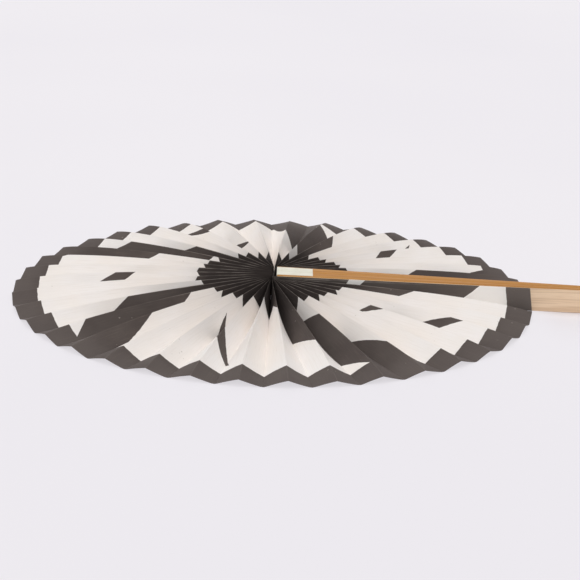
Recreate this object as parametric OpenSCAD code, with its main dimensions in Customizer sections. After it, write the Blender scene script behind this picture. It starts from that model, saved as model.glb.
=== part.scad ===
// Folding paper fan that opens to a full circle, lying open on a table.
// A pleated paper leaf runs right round the hub. Its two ends are glued to a pair of bamboo guards,
// which lie back to back and make the handle when the fan is open.
// +X runs along the handle, +Z points up from the table, and the origin is under the middle of the hub.

/* [Leaf] */
// Radius of the opened leaf, from the middle of the hub to the rim
leaf_radius = 130; // [110:5:150]
// Number of mountain folds round the leaf
pleats = 38; // [32:1:44]
// Height of the mountain creases above the table at the rim
rim_height = 2.9; // [1.6:0.1:5]
// Thickness of the leaf's paper
paper_t = 0.15; // [0.1:0.01:0.2]
// Free space between two layers of paper at the hub
layer_gap = 0.05; // [0.04:0.01:0.12]
// How much further along the handle the creases beside the guards begin
hub_flare = 2; // [0:0.5:4]
// Free space between the leaf's end creases and the flaps glued to the guards
flap_gap = 0.3; // [0.2:0.05:0.6]

/* [Hub] */
// Thickness of the glued paper strip that binds the inner ends of the pleats
spine_t = 0.5; // [0.3:0.1:1]
// Free space between the strip and the inner ends of the pleats
spine_gap = 0.15; // [0.1:0.05:0.4]
// Free space between the strip and the folded ends of the tabs
tab_gap = 0.3; // [0.2:0.05:0.6]

/* [Guards] */
// Height of a guard, which stands on its edge
guard_w = 12; // [11:0.5:16]
// Thickness of a guard at the hub
guard_root_t = 8; // [6:0.5:10]
// Thickness of a guard along the handle
guard_tip_t = 3.6; // [3:0.2:5]
// Distance from the hub at which a guard stops getting thinner
taper_length = 160; // [140:5:190]
// Distance from the hub to the far end of the handle
guard_length = 255; // [220:5:300]

/* [Tabs] */
// Length of the paper tab along the top of its guard
tab_length = 19; // [12:1:30]
// Thickness of a tab's paper
tab_t = 0.25; // [0.15:0.05:0.5]
// Width of bare wood between a tab and the leaf side of its guard
tab_margin = 1.6; // [0.6:0.1:3]
// Free space between the two tabs
tab_seam = 0.2; // [0.1:0.05:0.6]
// Length of a tab's folded end, down over the inner end of its guard
tab_drop = 10; // [6:0.5:10.5]

/* [Hidden] */
$fn = 64;

bamboo = "#C79A63";
bamboo_pale = "#D8BB9E";
tab_paper = "#E2DFCE";
leaf_paper = "#E8DFDA";

// Where the pieces along the handle begin
pleat_start = -spine_t / 2 - spine_gap;
guard_start = spine_t / 2 + tab_gap + tab_t;
guard_round = guard_w / 2;

// The angle at the hub from one crease to the next, and the radius that keeps the layers clear of each other
crease_step = 180 / pleats;
hub_round = (paper_t + layer_gap) / (crease_step * PI / 180);
hub_half = guard_root_t + paper_t + flap_gap;

// The rim: its last crease ends beside the flap on the guard
rim_end_y = guard_t(leaf_radius) + paper_t + flap_gap;
rim_end_angle = 180 - asin(rim_end_y / leaf_radius);
rim_half_w = leaf_radius * sin(rim_end_angle / pleats);

// Width of one panel of the leaf, from a valley crease to a mountain crease
panel_w = sqrt(pow(rim_height, 2) + pow(rim_half_w, 2));
flap_h = min(panel_w, guard_w);
flap_end = leaf_radius * cos(asin(rim_end_y / leaf_radius));

// Rings of points along a pleat, closer together where the mountain crease falls faster
rings = 10;
rim_slope = asin(rim_half_w / panel_w);

function pleat_name(k) = str("pleat_", k < 10 ? "0" : "", k);

// Thickness of a guard at distance x along the handle
function guard_t(x) =
    guard_tip_t + (guard_root_t - guard_tip_t) * max(0, 1 - x / taper_length);

// Crease j runs from a point beside the hub to a point on the rim. Crease 0 lies along the front guard,
// the last one along the back guard, and even creases are valleys.
function crease_share(j) = j / pleats - 1;
function hub_point(j) =
    let (
        turn = 180 * crease_share(j),
        left = abs(turn) < 90,
        away = left ? hub_round * pow(sin(turn), 2) : hub_round,
        side = left ? hub_half * sin(turn) : hub_half * sign(turn),
        flare = left ? 0 : -hub_flare * cos(turn)
    )
    [pleat_start + flare - away * cos(turn), side + away * sin(turn)];
function rim_point(j) =
    let (turn = rim_end_angle * crease_share(j))
    [-leaf_radius * cos(turn), leaf_radius * sin(turn)];
function crease_point(j, f) = hub_point(j) * (1 - f) + rim_point(j) * f;

// One ring across a pleat: valley, mountain, valley on the outside and the same again on the inside.
// The two panels are as wide everywhere, so the mountain crease falls as the valleys spread.
function pleat_ring(k, f) =
    let (
        valley_a = crease_point(2 * k - 2, f),
        valley_b = crease_point(2 * k, f),
        mountain = crease_point(2 * k - 1, f),
        half = norm(valley_b - valley_a) / 2,
        across = (valley_b - valley_a) / (2 * half),
        height = sqrt(pow(panel_w, 2) - pow(half, 2)),
        inset = across * paper_t * panel_w / height,
        drop = paper_t * panel_w / half
    )
    [
        [valley_a.x, valley_a.y, 0],
        [mountain.x, mountain.y, height],
        [valley_b.x, valley_b.y, 0],
        [valley_b.x - inset.x, valley_b.y - inset.y, 0],
        [mountain.x, mountain.y, height - drop],
        [valley_a.x + inset.x, valley_a.y + inset.y, 0]
    ];

function ring_share(i) = sin(rim_slope * i / rings) / sin(rim_slope);

module pleat(k) {
    ring_size = 6;
    last = rings * ring_size;
    points = [for (i = [0 : rings]) each pleat_ring(k, ring_share(i))];
    // Both skins of a panel are cut along the same diagonal, from a valley to the mountain of the next ring
    walls = [
        for (i = [0 : rings - 1], p = [0 : ring_size - 1])
            let (
                a = i * ring_size + p,
                b = i * ring_size + (p + 1) % ring_size,
                c = b + ring_size,
                d = a + ring_size,
                from_mountain = p % 3 == 1
            )
            each (from_mountain ? [[a, d, b], [d, c, b]] : [[a, d, c], [a, c, b]])
    ];
    hub_end = [[0, 1, 4], [0, 4, 5], [1, 2, 3], [1, 3, 4]];
    rim_end = [for (t = hub_end) [last + t[2], last + t[1], last + t[0]]];
    color(leaf_paper) polyhedron(points, concat(rim_end, walls, hub_end));
}

// The pieces of the back guard's side; the front side mirrors them
module guard(shade) {
    slack = 1;
    color(shade)
        intersection() {
            linear_extrude(guard_w)
                polygon([
                    [guard_start, 0],
                    [guard_length, 0],
                    [guard_length, guard_tip_t],
                    [taper_length, guard_tip_t],
                    [guard_start, guard_t(guard_start)]
                ]);
            translate([0, guard_root_t + slack, 0])
                rotate([90, 0, 0])
                    linear_extrude(guard_root_t + 2 * slack)
                        union() {
                            square([guard_length - guard_round, guard_w]);
                            translate([guard_length - guard_round, guard_round]) circle(guard_round);
                        }
        }
}

module tab() {
    near = guard_start - tab_t;
    far = guard_start + tab_length;
    edge = tab_seam / 2;
    color(tab_paper)
        union() {
            translate([0, 0, guard_w])
                linear_extrude(tab_t)
                    polygon([
                        [near, edge],
                        [far, edge],
                        [far, guard_t(far) - tab_margin],
                        [near, guard_t(near) - tab_margin]
                    ]);
            translate([near, edge, guard_w - tab_drop])
                cube([tab_t, guard_t(guard_start) - tab_margin - edge, tab_drop]);
        }
}

module glue_flap() {
    stations = concat([guard_start], flap_end > taper_length ? [taper_length] : [], [flap_end]);
    inner = [for (x = stations) [x, guard_t(x)]];
    outer = [for (i = [len(stations) - 1 : -1 : 0]) inner[i] + [0, paper_t]];
    color(leaf_paper) linear_extrude(flap_h) polygon(concat(inner, outer));
}

module leaf_spine() {
    spine_half = hub_half - flap_gap;
    color(leaf_paper)
        translate([-spine_t / 2, -spine_half, 0]) cube([spine_t, 2 * spine_half, panel_w]);
}

module front_guard() { mirror([0, 1, 0]) guard(bamboo_pale); }
module back_guard() { guard(bamboo); }
module front_tab() { mirror([0, 1, 0]) tab(); }
module back_tab() { tab(); }
module front_glue_flap() { mirror([0, 1, 0]) glue_flap(); }
module back_glue_flap() { glue_flap(); }

front_guard();
back_guard();
front_tab();
back_tab();
front_glue_flap();
back_glue_flap();
leaf_spine();
for (k = [1 : pleats]) {
    pleat(k);
}
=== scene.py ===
# Folding paper fan, opened to a full circle and lying on a pale table.
# Lengths are in metres. +X runs along the handle and +Z points up from the table.
import math

import bpy
from mathutils import Matrix, Vector


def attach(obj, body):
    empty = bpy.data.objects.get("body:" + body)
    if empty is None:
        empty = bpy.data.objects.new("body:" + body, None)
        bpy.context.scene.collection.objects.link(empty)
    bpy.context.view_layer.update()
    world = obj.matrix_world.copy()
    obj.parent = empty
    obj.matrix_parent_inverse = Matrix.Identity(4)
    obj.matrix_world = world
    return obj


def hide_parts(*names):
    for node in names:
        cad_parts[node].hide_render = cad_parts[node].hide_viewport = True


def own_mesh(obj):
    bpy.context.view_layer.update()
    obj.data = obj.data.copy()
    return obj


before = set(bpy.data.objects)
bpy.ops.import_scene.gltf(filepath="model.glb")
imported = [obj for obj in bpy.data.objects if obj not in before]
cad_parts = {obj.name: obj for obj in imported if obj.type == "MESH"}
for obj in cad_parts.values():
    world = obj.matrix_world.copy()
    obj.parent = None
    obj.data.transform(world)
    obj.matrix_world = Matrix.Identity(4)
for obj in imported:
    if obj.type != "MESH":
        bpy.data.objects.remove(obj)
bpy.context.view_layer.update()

# The leaf, with the same sizes as the CAD source
LEAF_RADIUS = 0.130
PLEATS = 38
RIM_HEIGHT = 0.0029
PAPER_T = 0.00015
LAYER_GAP = 0.00005
HUB_FLARE = 0.002
FLAP_GAP = 0.0003
SPINE_T = 0.0005
SPINE_GAP = 0.00015

# The guards and their tabs
GUARD_W = 0.012
GUARD_ROOT_T = 0.008
GUARD_TIP_T = 0.0036
TAPER_LENGTH = 0.160
GUARD_LENGTH = 0.255
TAB_GAP = 0.0003
TAB_T = 0.00025
TAB_LENGTH = 0.019
TAB_MARGIN = 0.0016
TAB_SEAM = 0.0002
TAB_DROP = 0.010


def guard_t(x):
    """Thickness of a guard at distance x along the handle."""
    return GUARD_TIP_T + (GUARD_ROOT_T - GUARD_TIP_T) * max(0, 1 - x / TAPER_LENGTH)


PLEAT_START = -SPINE_T / 2 - SPINE_GAP
GUARD_START = SPINE_T / 2 + TAB_GAP + TAB_T
HUB_ROUND = (PAPER_T + LAYER_GAP) / math.radians(180 / PLEATS)
HUB_HALF = GUARD_ROOT_T + PAPER_T + FLAP_GAP
RIM_END_Y = guard_t(LEAF_RADIUS) + PAPER_T + FLAP_GAP
RIM_END_TURN = math.pi - math.asin(RIM_END_Y / LEAF_RADIUS)
RIM_HALF_W = LEAF_RADIUS * math.sin(RIM_END_TURN / PLEATS)
PANEL_W = math.hypot(RIM_HEIGHT, RIM_HALF_W)
FLAP_END = LEAF_RADIUS * math.cos(math.asin(RIM_END_Y / LEAF_RADIUS))
SHEET_W = 2 * PLEATS * PANEL_W

# The name of the UV map that holds places on the flat sheet, in metres: x from the hub, y across the creases
SHEET_MAP = "Sheet"


def paint(red, green, blue):
    """A colour as it shows on a screen, 0 to 255, as the linear numbers that a shader takes."""
    shown = [value / 255 for value in (red, green, blue)]
    return [v / 12.92 if v <= 0.04045 else ((v + 0.055) / 1.055) ** 2.4 for v in shown] + [1.0]


# Finishes


class Finish:
    """A material being mixed: its nodes, its shader, and short ways to add to them."""

    def __init__(self, name, roughness, gloss):
        self.material = bpy.data.materials.new(name)
        self.material.use_nodes = True
        self.tree = self.material.node_tree
        self.shader = self.tree.nodes["Principled BSDF"]
        self.shader.inputs["Roughness"].default_value = roughness
        self.shader.inputs["Specular IOR Level"].default_value = gloss

    def feed(self, value, socket):
        if isinstance(value, bpy.types.NodeSocket):
            self.tree.links.new(value, socket)
        else:
            socket.default_value = value

    def math(self, operation, *values):
        node = self.tree.nodes.new("ShaderNodeMath")
        node.operation = operation
        for value, socket in zip(values, node.inputs):
            self.feed(value, socket)
        return node.outputs[0]

    def square(self, value):
        return self.math("MULTIPLY", value, value)

    def ramp(self, value, low, high, start=0.0, end=1.0):
        """start where value is at or under low, end where it is at or over high, and smooth between them."""
        node = self.tree.nodes.new("ShaderNodeMapRange")
        node.interpolation_type = "SMOOTHSTEP"
        for given, socket in zip((value, low, high, start, end), node.inputs):
            self.feed(given, socket)
        return node.outputs[0]

    def tint(self, share, first, second):
        """first where share is 0, second where it is 1."""
        node = self.tree.nodes.new("ShaderNodeMix")
        node.data_type = "RGBA"
        for given, socket in zip((share, first, second), (node.inputs[0], node.inputs[6], node.inputs[7])):
            self.feed(given, socket)
        return node.outputs[2]

    def grain(self, place, stretch, detail=2.0, rough=0.5):
        """Noise on place, with stretch waves a metre along x, y and z."""
        mapping = self.tree.nodes.new("ShaderNodeMapping")
        self.feed(place, mapping.inputs["Vector"])
        mapping.inputs["Scale"].default_value = stretch
        noise = self.tree.nodes.new("ShaderNodeTexNoise")
        self.feed(mapping.outputs[0], noise.inputs["Vector"])
        noise.inputs["Scale"].default_value = 1.0
        noise.inputs["Detail"].default_value = detail
        noise.inputs["Roughness"].default_value = rough
        return noise.outputs[0]

    def object_place(self):
        return self.tree.nodes.new("ShaderNodeTexCoord").outputs["Object"]

    def sheet_place(self):
        node = self.tree.nodes.new("ShaderNodeUVMap")
        node.uv_map = SHEET_MAP
        return node.outputs[0]

    def parts(self, place):
        node = self.tree.nodes.new("ShaderNodeSeparateXYZ")
        self.feed(place, node.inputs[0])
        return node.outputs

    def relief(self, height, depth, strength):
        node = self.tree.nodes.new("ShaderNodeBump")
        node.inputs["Strength"].default_value = strength
        node.inputs["Distance"].default_value = depth
        self.feed(height, node.inputs["Height"])
        self.feed(node.outputs[0], self.shader.inputs["Normal"])

    def colour(self, value):
        self.feed(value, self.shader.inputs["Base Color"])

    def roughness(self, value):
        self.feed(value, self.shader.inputs["Roughness"])


# The print: a rim band, a scalloped hub, broad curved vanes and a slim blade in each gap between them
RIM_BAND = 0.0123
HUB_PATCH = 0.030
SCALLOPS = 19
SCALLOP_DEPTH = 0.012
VANES = 5
VANE_SWEEP = 3.6
VANE_START = 0.80
VANE_SHARE = 0.125
VANE_WIDEST = 0.078
VANE_NARROWING = 26.0
BLADE_MIDDLE = 0.084
BLADE_HALF_W = 0.0036
BLADE_HALF_L = 0.027
# How far the edges of the print wander, and how soft they are
EDGE_WANDER = 0.0005
EDGE_SOFTNESS = 0.00008


def inked(finish, radius, across, wobble):
    """1 where the sheet is inked, with softly uneven edges."""
    rim = finish.math("SUBTRACT", radius, LEAF_RADIUS - RIM_BAND)

    scallop_turn = finish.math("MULTIPLY", across, math.pi * SCALLOPS / SHEET_W)
    scallop = finish.math("ABSOLUTE", finish.math("SINE", scallop_turn))
    hub_edge = finish.math("MULTIPLY_ADD", scallop, SCALLOP_DEPTH, HUB_PATCH)
    hub = finish.math("SUBTRACT", hub_edge, radius)

    repeat = SHEET_W / VANES
    turned = finish.math("MULTIPLY_ADD", radius, VANE_SWEEP, VANE_START)
    turned = finish.math("MULTIPLY_ADD", across, 1 / repeat, turned)
    from_gap = finish.math("SUBTRACT", finish.math("FRACT", turned), 0.5)
    from_vane = finish.math("SUBTRACT", 0.5, finish.math("ABSOLUTE", from_gap))
    past_widest = finish.math("SUBTRACT", radius, VANE_WIDEST)
    narrowing = finish.math("MULTIPLY", finish.square(past_widest), VANE_NARROWING)
    vane_edge = finish.math("SUBTRACT", VANE_SHARE, narrowing)
    vane = finish.math("MULTIPLY", finish.math("SUBTRACT", vane_edge, from_vane), repeat)

    past_middle = finish.math("SUBTRACT", radius, BLADE_MIDDLE)
    slimming = finish.math("MULTIPLY", finish.square(past_middle), BLADE_HALF_W / BLADE_HALF_L**2)
    off_gap = finish.math("MULTIPLY", finish.math("ABSOLUTE", from_gap), repeat)
    blade = finish.math("SUBTRACT", finish.math("SUBTRACT", BLADE_HALF_W, slimming), off_gap)

    depth = finish.math("MAXIMUM", finish.math("MAXIMUM", rim, hub), finish.math("MAXIMUM", vane, blade))
    shaky = finish.math("MULTIPLY_ADD", finish.math("SUBTRACT", wobble, 0.5), EDGE_WANDER, depth)
    return finish.ramp(shaky, -EDGE_SOFTNESS, EDGE_SOFTNESS)


PAPER_ROUGHNESS = 0.85
PAPER_GLOSS = 0.08
PAPER_RELIEF_DEPTH = 0.00012
PAPER_RELIEF = 0.35

PRINT_PAPER = paint(241, 236, 233)
PRINT_PAPER_WARM = paint(240, 233, 227)
PRINT_PAPER_FIBRE = paint(231, 224, 217)
# Paper colour of painted light, for faces that catch less light
PRINT_PAPER_PAINTED_LIGHT = paint(251, 248, 244)
SPECK = paint(160, 150, 138)
SPECK_ON_INK = paint(170, 161, 152)
INK = paint(90, 82, 78)
INK_DARK = paint(80, 72, 69)
# Ink darkened by painted shade near the hub
INK_PAINTED_SHADE_BY_HUB = paint(56, 50, 48)
# Ink lightened by painted sheen at the rim
INK_PAINTED_SHEEN_BY_RIM = paint(106, 98, 95)
INK_FIBRE = paint(104, 94, 88)
# Worn ink on the mountain creases, also the colour of painted light on the ink of faces that catch less light
INK_WORN_AND_PAINTED_LIGHT = paint(150, 141, 134)

PLAIN_PAPER = paint(240, 232, 226)
PLAIN_PAPER_WARM = paint(237, 227, 216)
PLAIN_PAPER_FIBRE = paint(227, 217, 207)
INK_THROUGH_PAPER = paint(150, 141, 136)
SHADE_IN_HUB = paint(50, 45, 43)


def paper_parts(finish):
    """What both sides of the leaf share: place on the sheet, distance from the hub and across the creases, fibres
    and mottle."""
    place = finish.sheet_place()
    radius, across, _ = finish.parts(place)
    fibres = finish.grain(place, (70.0, 1900.0, 1.0), 3.0, 0.6)
    mottle = finish.grain(place, (38.0, 38.0, 1.0), 3.0)
    return place, radius, across, fibres, mottle


def from_mountain(finish, across):
    """Distance along the sheet to the mountain crease of the pleat."""
    pleat_share = finish.math("FRACT", finish.math("DIVIDE", across, 2 * PANEL_W))
    return finish.math("MULTIPLY", finish.math("ABSOLUTE", finish.math("SUBTRACT", pleat_share, 0.5)), 2 * PANEL_W)


def make_printed_side(name, paper_painted_light, ink_painted_light):
    """The printed paper. Its last two arguments are painted light: how much paler its paper and its ink are mixed."""
    finish = Finish(name, PAPER_ROUGHNESS, PAPER_GLOSS)
    place, radius, across, fibres, mottle = paper_parts(finish)
    mottled = finish.ramp(mottle, 0.3, 0.7)

    # Specks lie in patches and keep clear of the hub
    speck_noise = finish.grain(place, (620.0, 620.0, 1.0), 0.0)
    speck_patches = finish.grain(place, (55.0, 75.0, 1.0), 0.0)
    specks = finish.math("MULTIPLY", finish.ramp(speck_noise, 0.78, 0.84), finish.ramp(speck_patches, 0.60, 0.68))
    specks = finish.math("MULTIPLY", specks, finish.ramp(radius, 0.035, 0.050))

    paper = finish.tint(mottled, PRINT_PAPER, PRINT_PAPER_WARM)
    paper = finish.tint(finish.ramp(fibres, 0.46, 0.70, 0.0, 0.45), paper, PRINT_PAPER_FIBRE)
    paper = finish.tint(finish.math("MULTIPLY", specks, 0.45), paper, SPECK)
    # Painted light: paler paper on faces that catch less light
    paper = finish.tint(paper_painted_light, paper, PRINT_PAPER_PAINTED_LIGHT)

    ink = finish.tint(mottled, INK, INK_DARK)
    # Painted shade: the ink is darker near the hub
    ink = finish.tint(finish.ramp(radius, 0.034, 0.060, 0.85, 0.0), ink, INK_PAINTED_SHADE_BY_HUB)
    # Painted sheen: the ink is lighter towards the rim
    ink = finish.tint(finish.ramp(radius, 0.110, 0.124, 0.0, 0.35), ink, INK_PAINTED_SHEEN_BY_RIM)
    ink = finish.tint(finish.ramp(fibres, 0.50, 0.75, 0.0, 0.4), ink, INK_FIBRE)

    # The ink is worn off the mountain creases, in patches and most of all near the hub
    patchy = finish.ramp(finish.grain(place, (150.0, 30.0, 1.0), 3.0), 0.32, 0.62, 0.25, 0.9)
    on_crease = finish.ramp(from_mountain(finish, across), 0.00008, 0.00040, 1.0, 0.0)
    worn = finish.math("MULTIPLY", on_crease, patchy)
    off_hub = finish.ramp(radius, 0.006, 0.018)
    rubbed = finish.math("MULTIPLY", off_hub, finish.ramp(radius, 0.045, 0.085, 0.9, 0.12))
    ink = finish.tint(finish.math("MULTIPLY", worn, rubbed), ink, INK_WORN_AND_PAINTED_LIGHT)
    ink = finish.tint(finish.math("MULTIPLY", specks, 0.5), ink, SPECK_ON_INK)
    # Painted light: paler ink on faces that catch less light
    ink = finish.tint(ink_painted_light, ink, INK_WORN_AND_PAINTED_LIGHT)

    wobble = finish.grain(place, (420.0, 420.0, 1.0), 1.0)
    mask = inked(finish, radius, across, wobble)
    finish.colour(finish.tint(mask, paper, ink))
    finish.roughness(finish.math("MULTIPLY_ADD", mask, -0.12, 0.88))
    finish.relief(finish.math("MULTIPLY_ADD", mottle, 0.6, fibres), PAPER_RELIEF_DEPTH, PAPER_RELIEF)
    return finish.material


def make_plain_side():
    """The underside, where the ink shows through faintly. Inside the hub it has painted shade."""
    finish = Finish("leaf_plain_side", PAPER_ROUGHNESS, PAPER_GLOSS)
    _, radius, across, fibres, mottle = paper_parts(finish)
    paper = finish.tint(finish.ramp(mottle, 0.3, 0.7), PLAIN_PAPER, PLAIN_PAPER_WARM)
    paper = finish.tint(finish.ramp(fibres, 0.46, 0.70, 0.0, 0.4), paper, PLAIN_PAPER_FIBRE)
    mask = inked(finish, radius, across, mottle)
    shown = finish.tint(finish.math("MULTIPLY", mask, 0.3), paper, INK_THROUGH_PAPER)
    # Painted shade inside the hub
    finish.colour(finish.tint(finish.ramp(radius, 0.018, 0.032, 1.0, 0.0), shown, SHADE_IN_HUB))
    finish.relief(fibres, PAPER_RELIEF_DEPTH, PAPER_RELIEF)
    return finish.material


def make_bamboo(name, pale, middle, dark, streaks, lines):
    """Split bamboo with its fibres along the handle. streaks is how strongly the fine fibres stand out from the
    wood, and lines how strongly single darker ones do."""
    finish = Finish(name, 0.6, 0.06)
    place = finish.object_place()
    broad = finish.grain(place, (9.0, 420.0, 420.0), 3.0, 0.55)
    strands = finish.grain(place, (3.5, 620.0, 620.0), 1.0, 0.4)
    fine = finish.grain(place, (22.0, 2600.0, 2600.0), 2.0, 0.6)
    patches = finish.grain(place, (24.0, 90.0, 90.0), 2.0)
    wood = finish.tint(finish.ramp(broad, 0.34, 0.66), pale, middle)
    wood = finish.tint(finish.ramp(fine, 0.48, 0.74, 0.0, streaks), wood, dark)
    wood = finish.tint(finish.ramp(patches, 0.45, 0.75, 0.0, 0.35), wood, pale)
    wood = finish.tint(finish.ramp(strands, 0.56, 0.66, 0.0, lines), wood, dark)
    finish.colour(wood)
    finish.roughness(finish.ramp(fine, 0.3, 0.7, 0.55, 0.68))
    finish.relief(finish.math("ADD", fine, broad), 0.00010, 0.4)
    return finish.material


def make_tab_paper():
    finish = Finish("tab_paper", 0.72, 0.3)
    place = finish.object_place()
    mottle = finish.grain(place, (160.0, 160.0, 160.0), 3.0)
    fibres = finish.grain(place, (140.0, 1500.0, 1500.0), 2.0)
    paper = finish.tint(finish.ramp(mottle, 0.3, 0.7), paint(226, 223, 209), paint(219, 215, 199))
    paper = finish.tint(finish.ramp(fibres, 0.5, 0.72, 0.0, 0.35), paper, paint(208, 204, 186))
    finish.colour(paper)
    finish.relief(fibres, 0.00008, 0.3)
    return finish.material


def make_strip_paper():
    finish = Finish("strip_paper", 0.8, 0.25)
    place = finish.object_place()
    mottle = finish.grain(place, (150.0, 300.0, 300.0), 3.0)
    finish.colour(finish.tint(finish.ramp(mottle, 0.3, 0.7), paint(70, 63, 60), paint(58, 52, 50)))
    finish.relief(mottle, 0.00008, 0.3)
    return finish.material


# How much of the table's look is glow, and the distances between which it changes: from the hub, along the handle
# and to the sides of it
TABLE_GLOW = 0.75
TABLE_GLOW_BY_HANDLE = 0.05
GLOW_STARTS = (0.100, 0.120)
HANDLE_STARTS = (0.125, 0.150)
HANDLE_SIDES = (0.03, 0.07)


def make_table():
    """A white paper sweep. Seen straight or in a reflection it glows beyond the leaf's rim, so that the shadow at the
    rim stays faint. Under the leaf it doesn't, and hardly at all beside the handle."""
    finish = Finish("table", 0.9, 0.1)
    place = finish.object_place()
    clouds = finish.grain(place, (1.6, 1.6, 1.6), 2.0)
    paper = finish.tint(finish.ramp(clouds, 0.3, 0.7), paint(240, 237, 241), paint(237, 234, 239))
    finish.colour(paper)
    x, y, _ = finish.parts(place)
    from_hub = finish.math("SQRT", finish.math("ADD", finish.square(x), finish.square(y)))
    beside = finish.ramp(finish.math("ABSOLUTE", y), *HANDLE_SIDES, 1.0, 0.0)
    by_handle = finish.math("MULTIPLY", finish.ramp(x, *HANDLE_STARTS), beside)
    share = finish.ramp(by_handle, 0.0, 1.0, TABLE_GLOW, TABLE_GLOW_BY_HANDLE)
    share = finish.math("MULTIPLY", share, finish.ramp(from_hub, *GLOW_STARTS))
    nodes = finish.tree.nodes
    glow = nodes.new("ShaderNodeEmission")
    finish.feed(paper, glow.inputs["Color"])
    ray = nodes.new("ShaderNodeLightPath")
    seen = finish.math("MAXIMUM", ray.outputs["Is Camera Ray"], ray.outputs["Is Glossy Ray"])
    mixed = nodes.new("ShaderNodeMixShader")
    finish.feed(finish.math("MULTIPLY", seen, share), mixed.inputs[0])
    finish.feed(finish.shader.outputs[0], mixed.inputs[1])
    finish.feed(glow.outputs[0], mixed.inputs[2])
    finish.feed(mixed.outputs[0], nodes["Material Output"].inputs["Surface"])
    return finish.material


printed_side = make_printed_side("leaf_printed_side", 0.0, 0.0)
# The panels glued to the guards stand upright and catch less light, so their paper and ink are painted paler, as
# painted light
flap_printed_side_painted_light = make_printed_side("flap_printed_side_painted_light", 0.8, 0.17)
plain_side = make_plain_side()
bamboo_face = make_bamboo("bamboo_face", paint(238, 212, 183), paint(230, 202, 171), paint(207, 176, 145), 0.5, 0.55)
bamboo_edge = make_bamboo("bamboo_edge", paint(185, 132, 67), paint(174, 120, 54), paint(156, 102, 42), 0.75, 0.4)
tab_paper = make_tab_paper()


# Ways to make a piece

TOUCHING = 1e-6


def same(a, b):
    return abs(a - b) < TOUCHING


def clear_selection():
    bpy.ops.object.select_all(action="DESELECT")


def start(name):
    """Names the piece that a primitive has just made."""
    piece = bpy.context.object
    piece.name = name
    piece.data.name = name
    return piece


def settle(piece):
    """Puts the place of a piece into its mesh."""
    bpy.ops.object.transform_apply(location=True, rotation=True, scale=True)
    return piece


def pick(piece, wanted, kind):
    """In edit mode, selects the faces, edges or vertices of piece whose corners all pass wanted."""
    bpy.ops.mesh.select_mode(type=kind)
    bpy.ops.mesh.select_all(action="DESELECT")
    bpy.ops.object.mode_set(mode="OBJECT")
    mesh = piece.data
    items = {"VERT": mesh.vertices, "EDGE": mesh.edges, "FACE": mesh.polygons}[kind]
    for item in items:
        corners = [item.co] if kind == "VERT" else [mesh.vertices[i].co for i in item.vertices]
        item.select = all(wanted(corner) for corner in corners)
    bpy.ops.object.mode_set(mode="EDIT")


def flip():
    """Turns the picked faces of the piece in hand over."""
    bpy.ops.object.mode_set(mode="EDIT")
    bpy.ops.mesh.flip_normals()
    bpy.ops.object.mode_set(mode="OBJECT")


def apply_modifier(piece, kind, **settings):
    modifier = piece.modifiers.new(kind.lower(), kind)
    for key, value in settings.items():
        setattr(modifier, key, value)
    bpy.ops.object.modifier_apply(modifier=modifier.name)


def hand_over(piece, body, node, materials, crease_angle):
    """Gives a finished piece its materials and its place in the frame."""
    for material in materials:
        piece.data.materials.append(material)
    bpy.ops.object.shade_smooth_by_angle(angle=math.radians(crease_angle))
    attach(piece, body)
    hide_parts(node)


# The pleated leaf

STEPS_OUT = 48
STEPS_PANEL = 8
PAPER_CREASE = 20

# How far the rim ends of the creases wander, in radians, and the height of the mountain creases, in metres
MOUNTAIN_WANDER = 0.0007
VALLEY_WANDER = 0.0011
HEIGHT_WANDER = 0.00012
HEIGHT_SEED = 100
# How much each panel bulges at the rim, as a share of the pleat's height
BOW = 0.2

# Near the ridge both panels of a pleat share little room, so the paper gets thinner there. The first number is how
# many thicknesses of paper have to fit before it is at its full thickness, and the second does the same on the ridge.
ROOM_PER_PAPER = 2.0
RIDGE_ROOM_PER_PAPER = 2
THINNEST = 0.02
ON_RIDGE = 0.999


def wander(seed):
    """A fixed number from -1 to 1 for each seed, for the small unevenness of folds made by hand."""
    return 2 * (math.sin(seed * 12.9898 + 4.1) * 43758.5453 % 1) - 1


def hub_point(crease):
    turn = math.pi * (crease / PLEATS - 1)
    left = abs(turn) < math.pi / 2
    away = HUB_ROUND * math.sin(turn) ** 2 if left else HUB_ROUND
    side = HUB_HALF * (math.sin(turn) if left else math.copysign(1, turn))
    flare = 0 if left else -HUB_FLARE * math.cos(turn)
    return Vector((PLEAT_START + flare - away * math.cos(turn), side + away * math.sin(turn)))


def rim_point(crease):
    turn = RIM_END_TURN * (crease / PLEATS - 1)
    reach = MOUNTAIN_WANDER if crease % 2 else VALLEY_WANDER
    shift = 0 if crease in (0, 2 * PLEATS) else reach * wander(crease)
    return LEAF_RADIUS * Vector((-math.cos(turn + shift), math.sin(turn + shift)))


def crease_point(crease, out):
    return hub_point(crease).lerp(rim_point(crease), out)


def start_sheet(name, steps_across):
    """A flat grid, one metre square, that is then put into shape vertex by vertex."""
    clear_selection()
    bpy.ops.mesh.primitive_grid_add(x_subdivisions=STEPS_OUT, y_subdivisions=steps_across, size=1)
    sheet = start(name)
    sheet.data.uv_layers[0].name = SHEET_MAP
    return sheet


def lay_out(sheet, places):
    """Writes the place on the flat sheet of each vertex into the UV map."""
    layer = sheet.data.uv_layers[0].data
    for loop in sheet.data.loops:
        layer[loop.index].uv = places[loop.vertex_index]


def thicken(sheet, printed, **settings):
    """Gives a sheet its thickness, with the print outside and on the cut edges and the plain side inside."""
    sheet.data.materials.append(printed)
    sheet.data.materials.append(plain_side)
    apply_modifier(
        sheet, "SOLIDIFY", thickness=PAPER_T, offset=-1, material_offset=1, material_offset_rim=0, **settings
    )


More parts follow.
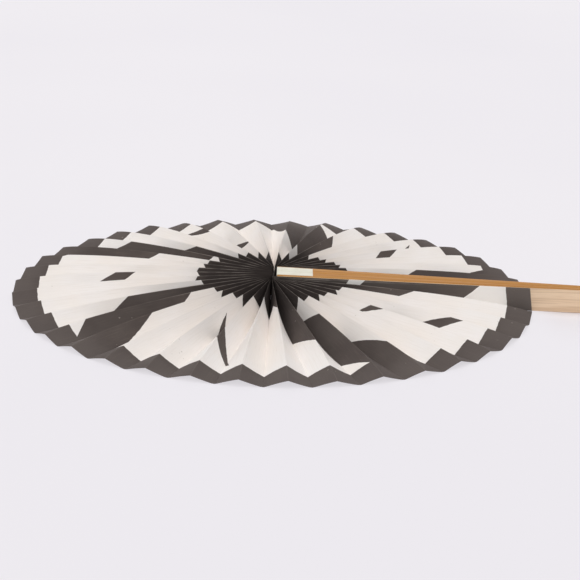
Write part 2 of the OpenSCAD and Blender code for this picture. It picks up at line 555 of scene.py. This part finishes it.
def fold_pleat(number):
    """One pleat of the sheet: two panels that meet in a mountain crease and open out from the hub to the rim."""
    pleat = start_sheet(f"leaf_pleat_{number:02d}", 2 * STEPS_PANEL)
    mesh = pleat.data
    first = 2 * number - 2
    base = hub_point(first + 1)
    ridge = rim_point(first + 1) - base
    places, ridge_line = {}, []
    room = pleat.vertex_groups.new(name="room")
    for vertex in mesh.vertices:
        out, across = vertex.co.x + 0.5, 0.5 - vertex.co.y
        valley_a, mountain, valley_b = (crease_point(first + i, out) for i in range(3))
        half = (valley_b - valley_a).length / 2
        height = math.sqrt(max(PANEL_W**2 - half**2, 0)) + HEIGHT_WANDER * wander(number + HEIGHT_SEED) * out
        rise = 1 - abs(2 * across - 1)
        foot = valley_a if across < 0.5 else valley_b
        flat = foot.lerp(mountain, rise)
        bow = BOW if across > 0.5 else -BOW
        vertex.co = (flat.x, flat.y, height * (rise + bow * out * rise * (1 - rise)))
        if rise > ON_RIDGE:
            ridge_line.append(vertex.index)
            thickness = half / (RIDGE_ROOM_PER_PAPER * PAPER_T)
        else:
            thickness = max(half * (1 - rise) / (ROOM_PER_PAPER * PAPER_T), THINNEST)
        room.add([vertex.index], min(thickness, 1.0), "REPLACE")
        places[vertex.index] = (LEAF_RADIUS - ridge.length * (1 - out), (first + 2 * across) * PANEL_W)
    lay_out(pleat, places)
    # Both skins of the paper are cut along the same diagonals
    apply_modifier(pleat, "TRIANGULATE", quad_method="FIXED")
    thicken(pleat, printed_side, vertex_group="room")
    pleat.vertex_groups.clear()
    # The underside of the ridge lies straight below it
    for index in ridge_line:
        mesh.vertices[index + len(places)].co.xy = mesh.vertices[index].co.xy
    for vertex in mesh.vertices:
        vertex.co.z = max(vertex.co.z, 0)
    hand_over(pleat, f"pleat_{number:02d}", f"pleat_{number:02d}", (), PAPER_CREASE)

    ridge.normalize()
    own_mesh(pleat)


for number in range(1, PLEATS + 1):
    fold_pleat(number)

FLAP_H = 0.0117
FLAP_LEAN = 0.0018


def glue_flap(name, side):
    """The last panel of the sheet, glued to the leaf side of a guard. side is -1 in front, 1 at the back."""
    flap = start_sheet(name, STEPS_PANEL)
    mesh = flap.data
    middle = (GUARD_START + FLAP_END) / 2
    places = {}
    for vertex in mesh.vertices:
        up = 0.5 + side * vertex.co.y
        x = middle + vertex.co.x * (FLAP_END - GUARD_START)
        z = up * FLAP_H
        lean = FLAP_LEAN * up * (vertex.co.x + 0.5)
        vertex.co = (x - lean, side * (guard_t(x - lean) + PAPER_T), z)
        places[vertex.index] = (x, -z if side < 0 else SHEET_W + z)
    lay_out(flap, places)
    bpy.ops.object.mode_set(mode="EDIT")
    bpy.ops.mesh.select_all(action="SELECT")
    bpy.ops.mesh.normals_make_consistent(inside=False)
    bpy.ops.object.mode_set(mode="OBJECT")
    if mesh.polygons[0].normal.y * side < 0:
        flip()
    thicken(flap, flap_printed_side_painted_light)
    return flap


for name, side in (("front", -1), ("back", 1)):
    flap = glue_flap(f"{name}_flap_paper", side)
    hand_over(flap, f"{name}_guard", f"{name}_glue_flap", (), PAPER_CREASE)

STRIP_T = 0.3 * SPINE_T
STRIP_RIBS = 40
RIB_PRESS = 0.7
STRIP_CREASE = 25


def hub_strip():
    """The strip of paper that the inner ends of the pleats are glued to, pressed into shallow ribs by them."""
    clear_selection()
    half = HUB_HALF - FLAP_GAP
    bpy.ops.mesh.primitive_cube_add(
        size=1, location=((SPINE_T - STRIP_T) / 2, 0, PANEL_W / 2), scale=(STRIP_T, 2 * half, PANEL_W)
    )
    strip = settle(start("hub_strip"))
    bpy.ops.object.mode_set(mode="EDIT")
    for i in range(1, STRIP_RIBS):
        bpy.ops.mesh.select_all(action="SELECT")
        bpy.ops.mesh.bisect(plane_co=(0, half * (2 * i / STRIP_RIBS - 1), 0), plane_no=(0, 1, 0))
    bpy.ops.object.mode_set(mode="OBJECT")
    for vertex in strip.data.vertices:
        rib = round((vertex.co.y / half + 1) * STRIP_RIBS / 2)
        if rib % 2:
            vertex.co.x *= RIB_PRESS
    return strip


hand_over(hub_strip(), "hub", "leaf_spine", (make_strip_paper(),), STRIP_CREASE)


# The bamboo guards

SETBACK = 0.0011
SKEW = 0.08
GUARD_BEVEL = 0.00028
# What is left flat between the two halves of a guard's round end
ROUND_END_FLAT = 0.00005
GUARD_CREASE = 35
BROAD_FACE = 0.75


def inner_end(y):
    """Where the guards begin along the handle. Both were trimmed in one slightly skew cut."""
    return GUARD_START + SETBACK - SKEW * y


def shape_guard(name, side):
    """A flat stick on its edge, thinner along the handle, with a round end. side is -1 in front, 1 at the back."""
    clear_selection()
    begin = inner_end(0)
    length = GUARD_LENGTH - begin
    bpy.ops.mesh.primitive_cube_add(
        size=1,
        location=(begin + length / 2, side * GUARD_TIP_T / 2, GUARD_W / 2),
        scale=(length, GUARD_TIP_T, GUARD_W),
    )
    guard = settle(start(name))
    bpy.ops.object.mode_set(mode="EDIT")
    bpy.ops.mesh.select_all(action="SELECT")
    bpy.ops.mesh.bisect(plane_co=(TAPER_LENGTH, 0, 0), plane_no=(1, 0, 0))
    pick(guard, lambda c: same(c.x, begin) and same(c.y, side * GUARD_TIP_T), "VERT")
    bpy.ops.transform.translate(value=(0, side * (guard_t(begin) - GUARD_TIP_T), 0))
    for z in (0, GUARD_W):
        pick(guard, lambda c: same(c.x, GUARD_LENGTH) and same(c.z, z), "EDGE")
        bpy.ops.mesh.bevel(offset=GUARD_W / 2 - ROUND_END_FLAT, segments=10, affect="EDGES")
    bpy.ops.object.mode_set(mode="OBJECT")
    for vertex in guard.data.vertices:
        if same(vertex.co.x, begin):
            vertex.co.x = inner_end(vertex.co.y)
    apply_modifier(
        guard, "BEVEL", width=GUARD_BEVEL, segments=3, limit_method="ANGLE", angle_limit=math.radians(40)
    )
    guard.data.materials.append(bamboo_face)
    guard.data.materials.append(bamboo_edge)
    for face in guard.data.polygons:
        face.material_index = 0 if abs(face.normal.y) > BROAD_FACE else 1
    return guard


for name, side in (("front", -1), ("back", 1)):
    guard = shape_guard(f"{name}_guard_stick", side)
    hand_over(guard, f"{name}_guard", f"{name}_guard", (), GUARD_CREASE)

TAB_FOLD = 0.0004
# The tab's paper is a hair thinner than the room it has
TAB_PAPER_T = TAB_T * 0.96
TAB_CREASE = 30


def fold_tab(name, side):
    """A strip of paper glued along the top of a guard and folded down over its inner end."""
    clear_selection()
    near = inner_end(0) - TAB_T
    far = GUARD_START + TAB_LENGTH
    top = GUARD_W + TAB_T
    edge = TAB_SEAM / 2
    bpy.ops.mesh.primitive_plane_add(size=1, location=((near + far) / 2, side * 0.5, top), scale=(1, 1, 1))
    tab = settle(start(name))
    for vertex in tab.data.vertices:
        x = near if vertex.co.x < (near + far) / 2 else far
        outer = abs(vertex.co.y) > 0.5
        vertex.co = (x, side * (guard_t(x) - TAB_MARGIN if outer else edge), top)
    bpy.ops.object.mode_set(mode="EDIT")
    pick(tab, lambda c: same(c.x, near), "EDGE")
    bpy.ops.mesh.extrude_region_move(TRANSFORM_OT_translate={"value": (0, 0, -TAB_DROP - TAB_T)})
    pick(tab, lambda c: same(c.x, near) and same(c.z, top), "EDGE")
    bpy.ops.mesh.bevel(offset=TAB_FOLD, segments=4, affect="EDGES")
    bpy.ops.mesh.select_all(action="SELECT")
    bpy.ops.mesh.normals_make_consistent(inside=False)
    bpy.ops.object.mode_set(mode="OBJECT")
    for vertex in tab.data.vertices:
        vertex.co.x -= SKEW * vertex.co.y
    broadest = max(tab.data.polygons, key=lambda face: face.area)
    if broadest.normal.z < 0:
        flip()
    apply_modifier(tab, "SOLIDIFY", thickness=TAB_PAPER_T, offset=-1)
    return tab


for name, side in (("front", -1), ("back", 1)):
    tab = fold_tab(f"{name}_tab_paper", side)
    hand_over(tab, f"{name}_guard", f"{name}_tab", (tab_paper,), TAB_CREASE)


# Table, light and camera

TABLE_SIZE = 60
# The table lies this far under the origin, so that it doesn't share a plane with the guards' edges
TABLE_DROP = 0.00006

clear_selection()
bpy.ops.mesh.primitive_plane_add(size=TABLE_SIZE, location=(0, 0, -TABLE_DROP))
table = settle(start("table"))
table.data.materials.append(make_table())

ROOM_LIGHT = 0.355
ROOM_COLOUR = (1.0, 0.992, 0.996, 1.0)
BACKDROP = paint(239, 236, 240)


def light_room():
    """An even room light. Seen straight or in a reflection the room has the colour of the backdrop instead."""
    world = bpy.data.worlds.new("studio")
    world.use_nodes = True
    nodes, links = world.node_tree.nodes, world.node_tree.links
    room_light = nodes["Background"]
    room_light.inputs["Color"].default_value = ROOM_COLOUR
    room_light.inputs["Strength"].default_value = ROOM_LIGHT
    backdrop = nodes.new("ShaderNodeBackground")
    backdrop.inputs["Color"].default_value = BACKDROP
    ray = nodes.new("ShaderNodeLightPath")
    seen = nodes.new("ShaderNodeMath")
    seen.operation = "MAXIMUM"
    links.new(ray.outputs["Is Camera Ray"], seen.inputs[0])
    links.new(ray.outputs["Is Glossy Ray"], seen.inputs[1])
    mixed = nodes.new("ShaderNodeMixShader")
    links.new(seen.outputs[0], mixed.inputs[0])
    links.new(room_light.outputs[0], mixed.inputs[1])
    links.new(backdrop.outputs[0], mixed.inputs[2])
    links.new(mixed.outputs[0], nodes["World Output"].inputs["Surface"])
    bpy.context.scene.world = world


def hang_lamp(name, level, toward, spread):
    """A broad soft lamp. level is how bright white paper square to it would render, toward is where it shines and
    spread is how wide it looks, in degrees."""
    bpy.ops.object.light_add(type="SUN", location=-1.2 * Vector(toward))
    lamp = bpy.context.object
    lamp.name = name
    lamp.data.energy = level * math.pi
    lamp.data.angle = math.radians(spread)
    lamp.rotation_euler = Vector(toward).to_track_quat("-Z", "Y").to_euler()


light_room()
hang_lamp("top_softbox", 0.345, (0.0, -0.20, -1.0), 45)
hang_lamp("back_softbox", 0.225, (0.15, -1.0, -0.32), 40)
hang_lamp("front_softbox", 0.37, (0.10, 0.78, -0.62), 60)

# The camera, fitted to the rim, the hub and the guards' edges in the photograph
ELEVATION = math.radians(17.997)
ROLL = math.radians(1.714)
YAW = math.radians(4.904)
DISTANCE = 0.7864
FOCAL_PX = 1553.5
FRAME_PX = 580
HUB_PX = (273.0, 293.9)
SENSOR_MM = 36


def photo_camera():
    ahead = Vector((0, math.cos(ELEVATION), -math.sin(ELEVATION)))
    right = Vector((1, 0, 0))
    up = Vector((0, math.sin(ELEVATION), math.cos(ELEVATION)))
    pan = math.atan((HUB_PX[0] - FRAME_PX / 2) / FOCAL_PX)
    tilt = math.atan((HUB_PX[1] - FRAME_PX / 2) / FOCAL_PX)
    place = -ahead * DISTANCE
    panned_right = math.cos(pan) * right + math.sin(pan) * ahead
    panned_ahead = -math.sin(pan) * right + math.cos(pan) * ahead
    tilted_down = -math.cos(tilt) * up + math.sin(tilt) * panned_ahead
    tilted_ahead = math.sin(tilt) * up + math.cos(tilt) * panned_ahead
    rolled_right = math.cos(ROLL) * panned_right - math.sin(ROLL) * tilted_down
    rolled_down = math.sin(ROLL) * panned_right + math.cos(ROLL) * tilted_down
    turn = Matrix.Rotation(YAW, 3, "Z")
    columns = [turn @ v for v in (rolled_right, -rolled_down, -tilted_ahead, place)]
    matrix = Matrix([[columns[c][r] for c in range(4)] for r in range(3)] + [[0, 0, 0, 1]])
    bpy.ops.object.camera_add()
    camera = bpy.context.object
    camera.matrix_world = matrix
    camera.data.sensor_width = SENSOR_MM
    camera.data.lens = FOCAL_PX * SENSOR_MM / FRAME_PX
    camera.data.clip_start = 0.01
    camera.data.clip_end = 100
    return camera


bpy.context.scene.camera = photo_camera()
bpy.context.scene.view_settings.view_transform = "Standard"
